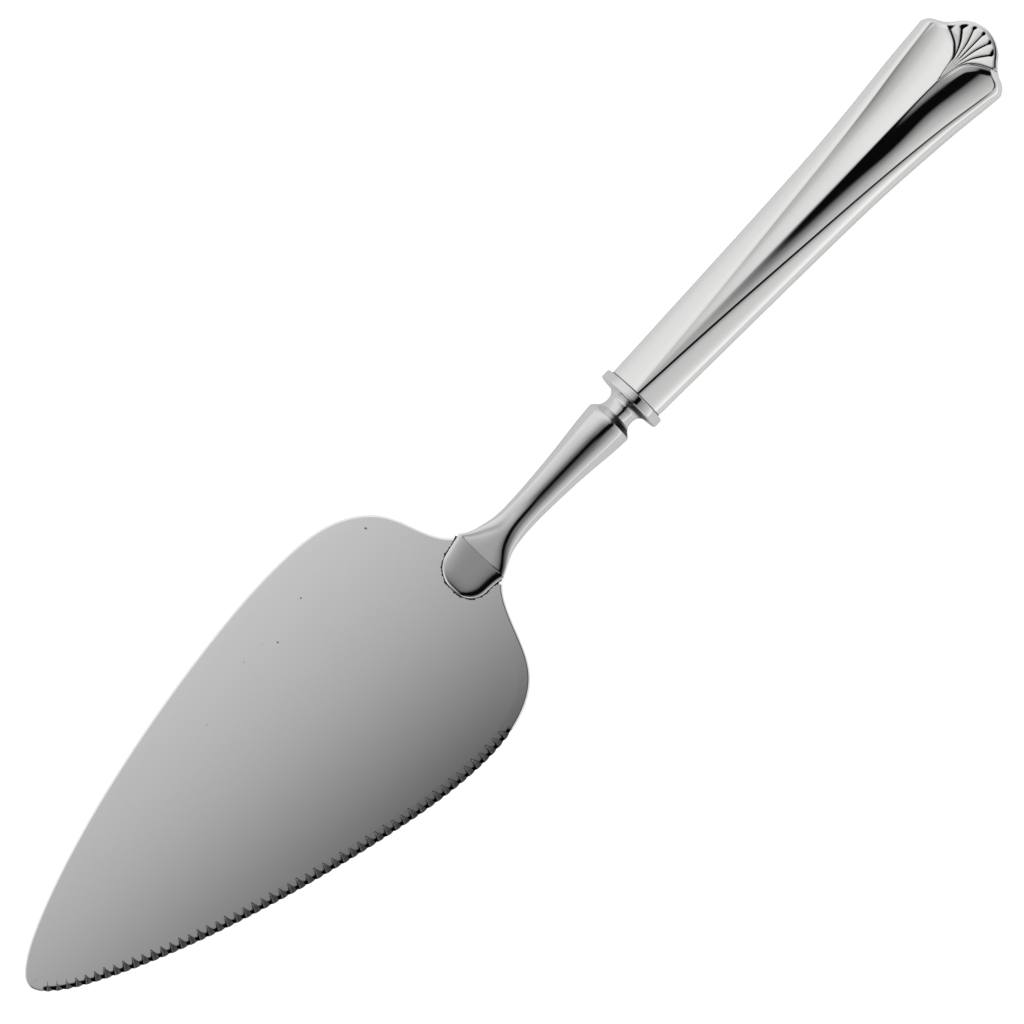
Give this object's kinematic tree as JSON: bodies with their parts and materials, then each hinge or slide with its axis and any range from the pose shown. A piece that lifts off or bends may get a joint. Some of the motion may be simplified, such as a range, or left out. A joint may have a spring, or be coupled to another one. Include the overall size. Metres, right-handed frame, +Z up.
{
  "type": "pie server",
  "caption": "Pie server with a flat tapered blade, one serrated side, a cranked steel shank and a hollow fluted handle that ends in a struck fan.",
  "frame": {"origin": "centre of the bounding box in plan, on the plane that the blade's underside lies on", "axes": "+X from the blade's tip to the handle's end, +Z up from the blade's underside, +Y towards the blade's plain side"},
  "size_m": [0.2599, 0.0552, 0.0179],
  "materials": {
    "blade_steel": "satin",
    "shank_steel": "polished",
    "braze": "matte",
    "silver_front": "polished",
    "silver_back": "polished",
    "cement": "matte"
  },
  "bodies": {
    "root": {"blade": "blade_steel", "shank": "shank_steel", "braze_seam": "braze", "handle_front": "silver_front", "handle_back": "silver_back", "handle_filler": "cement"}
  },
  "joints": []
}
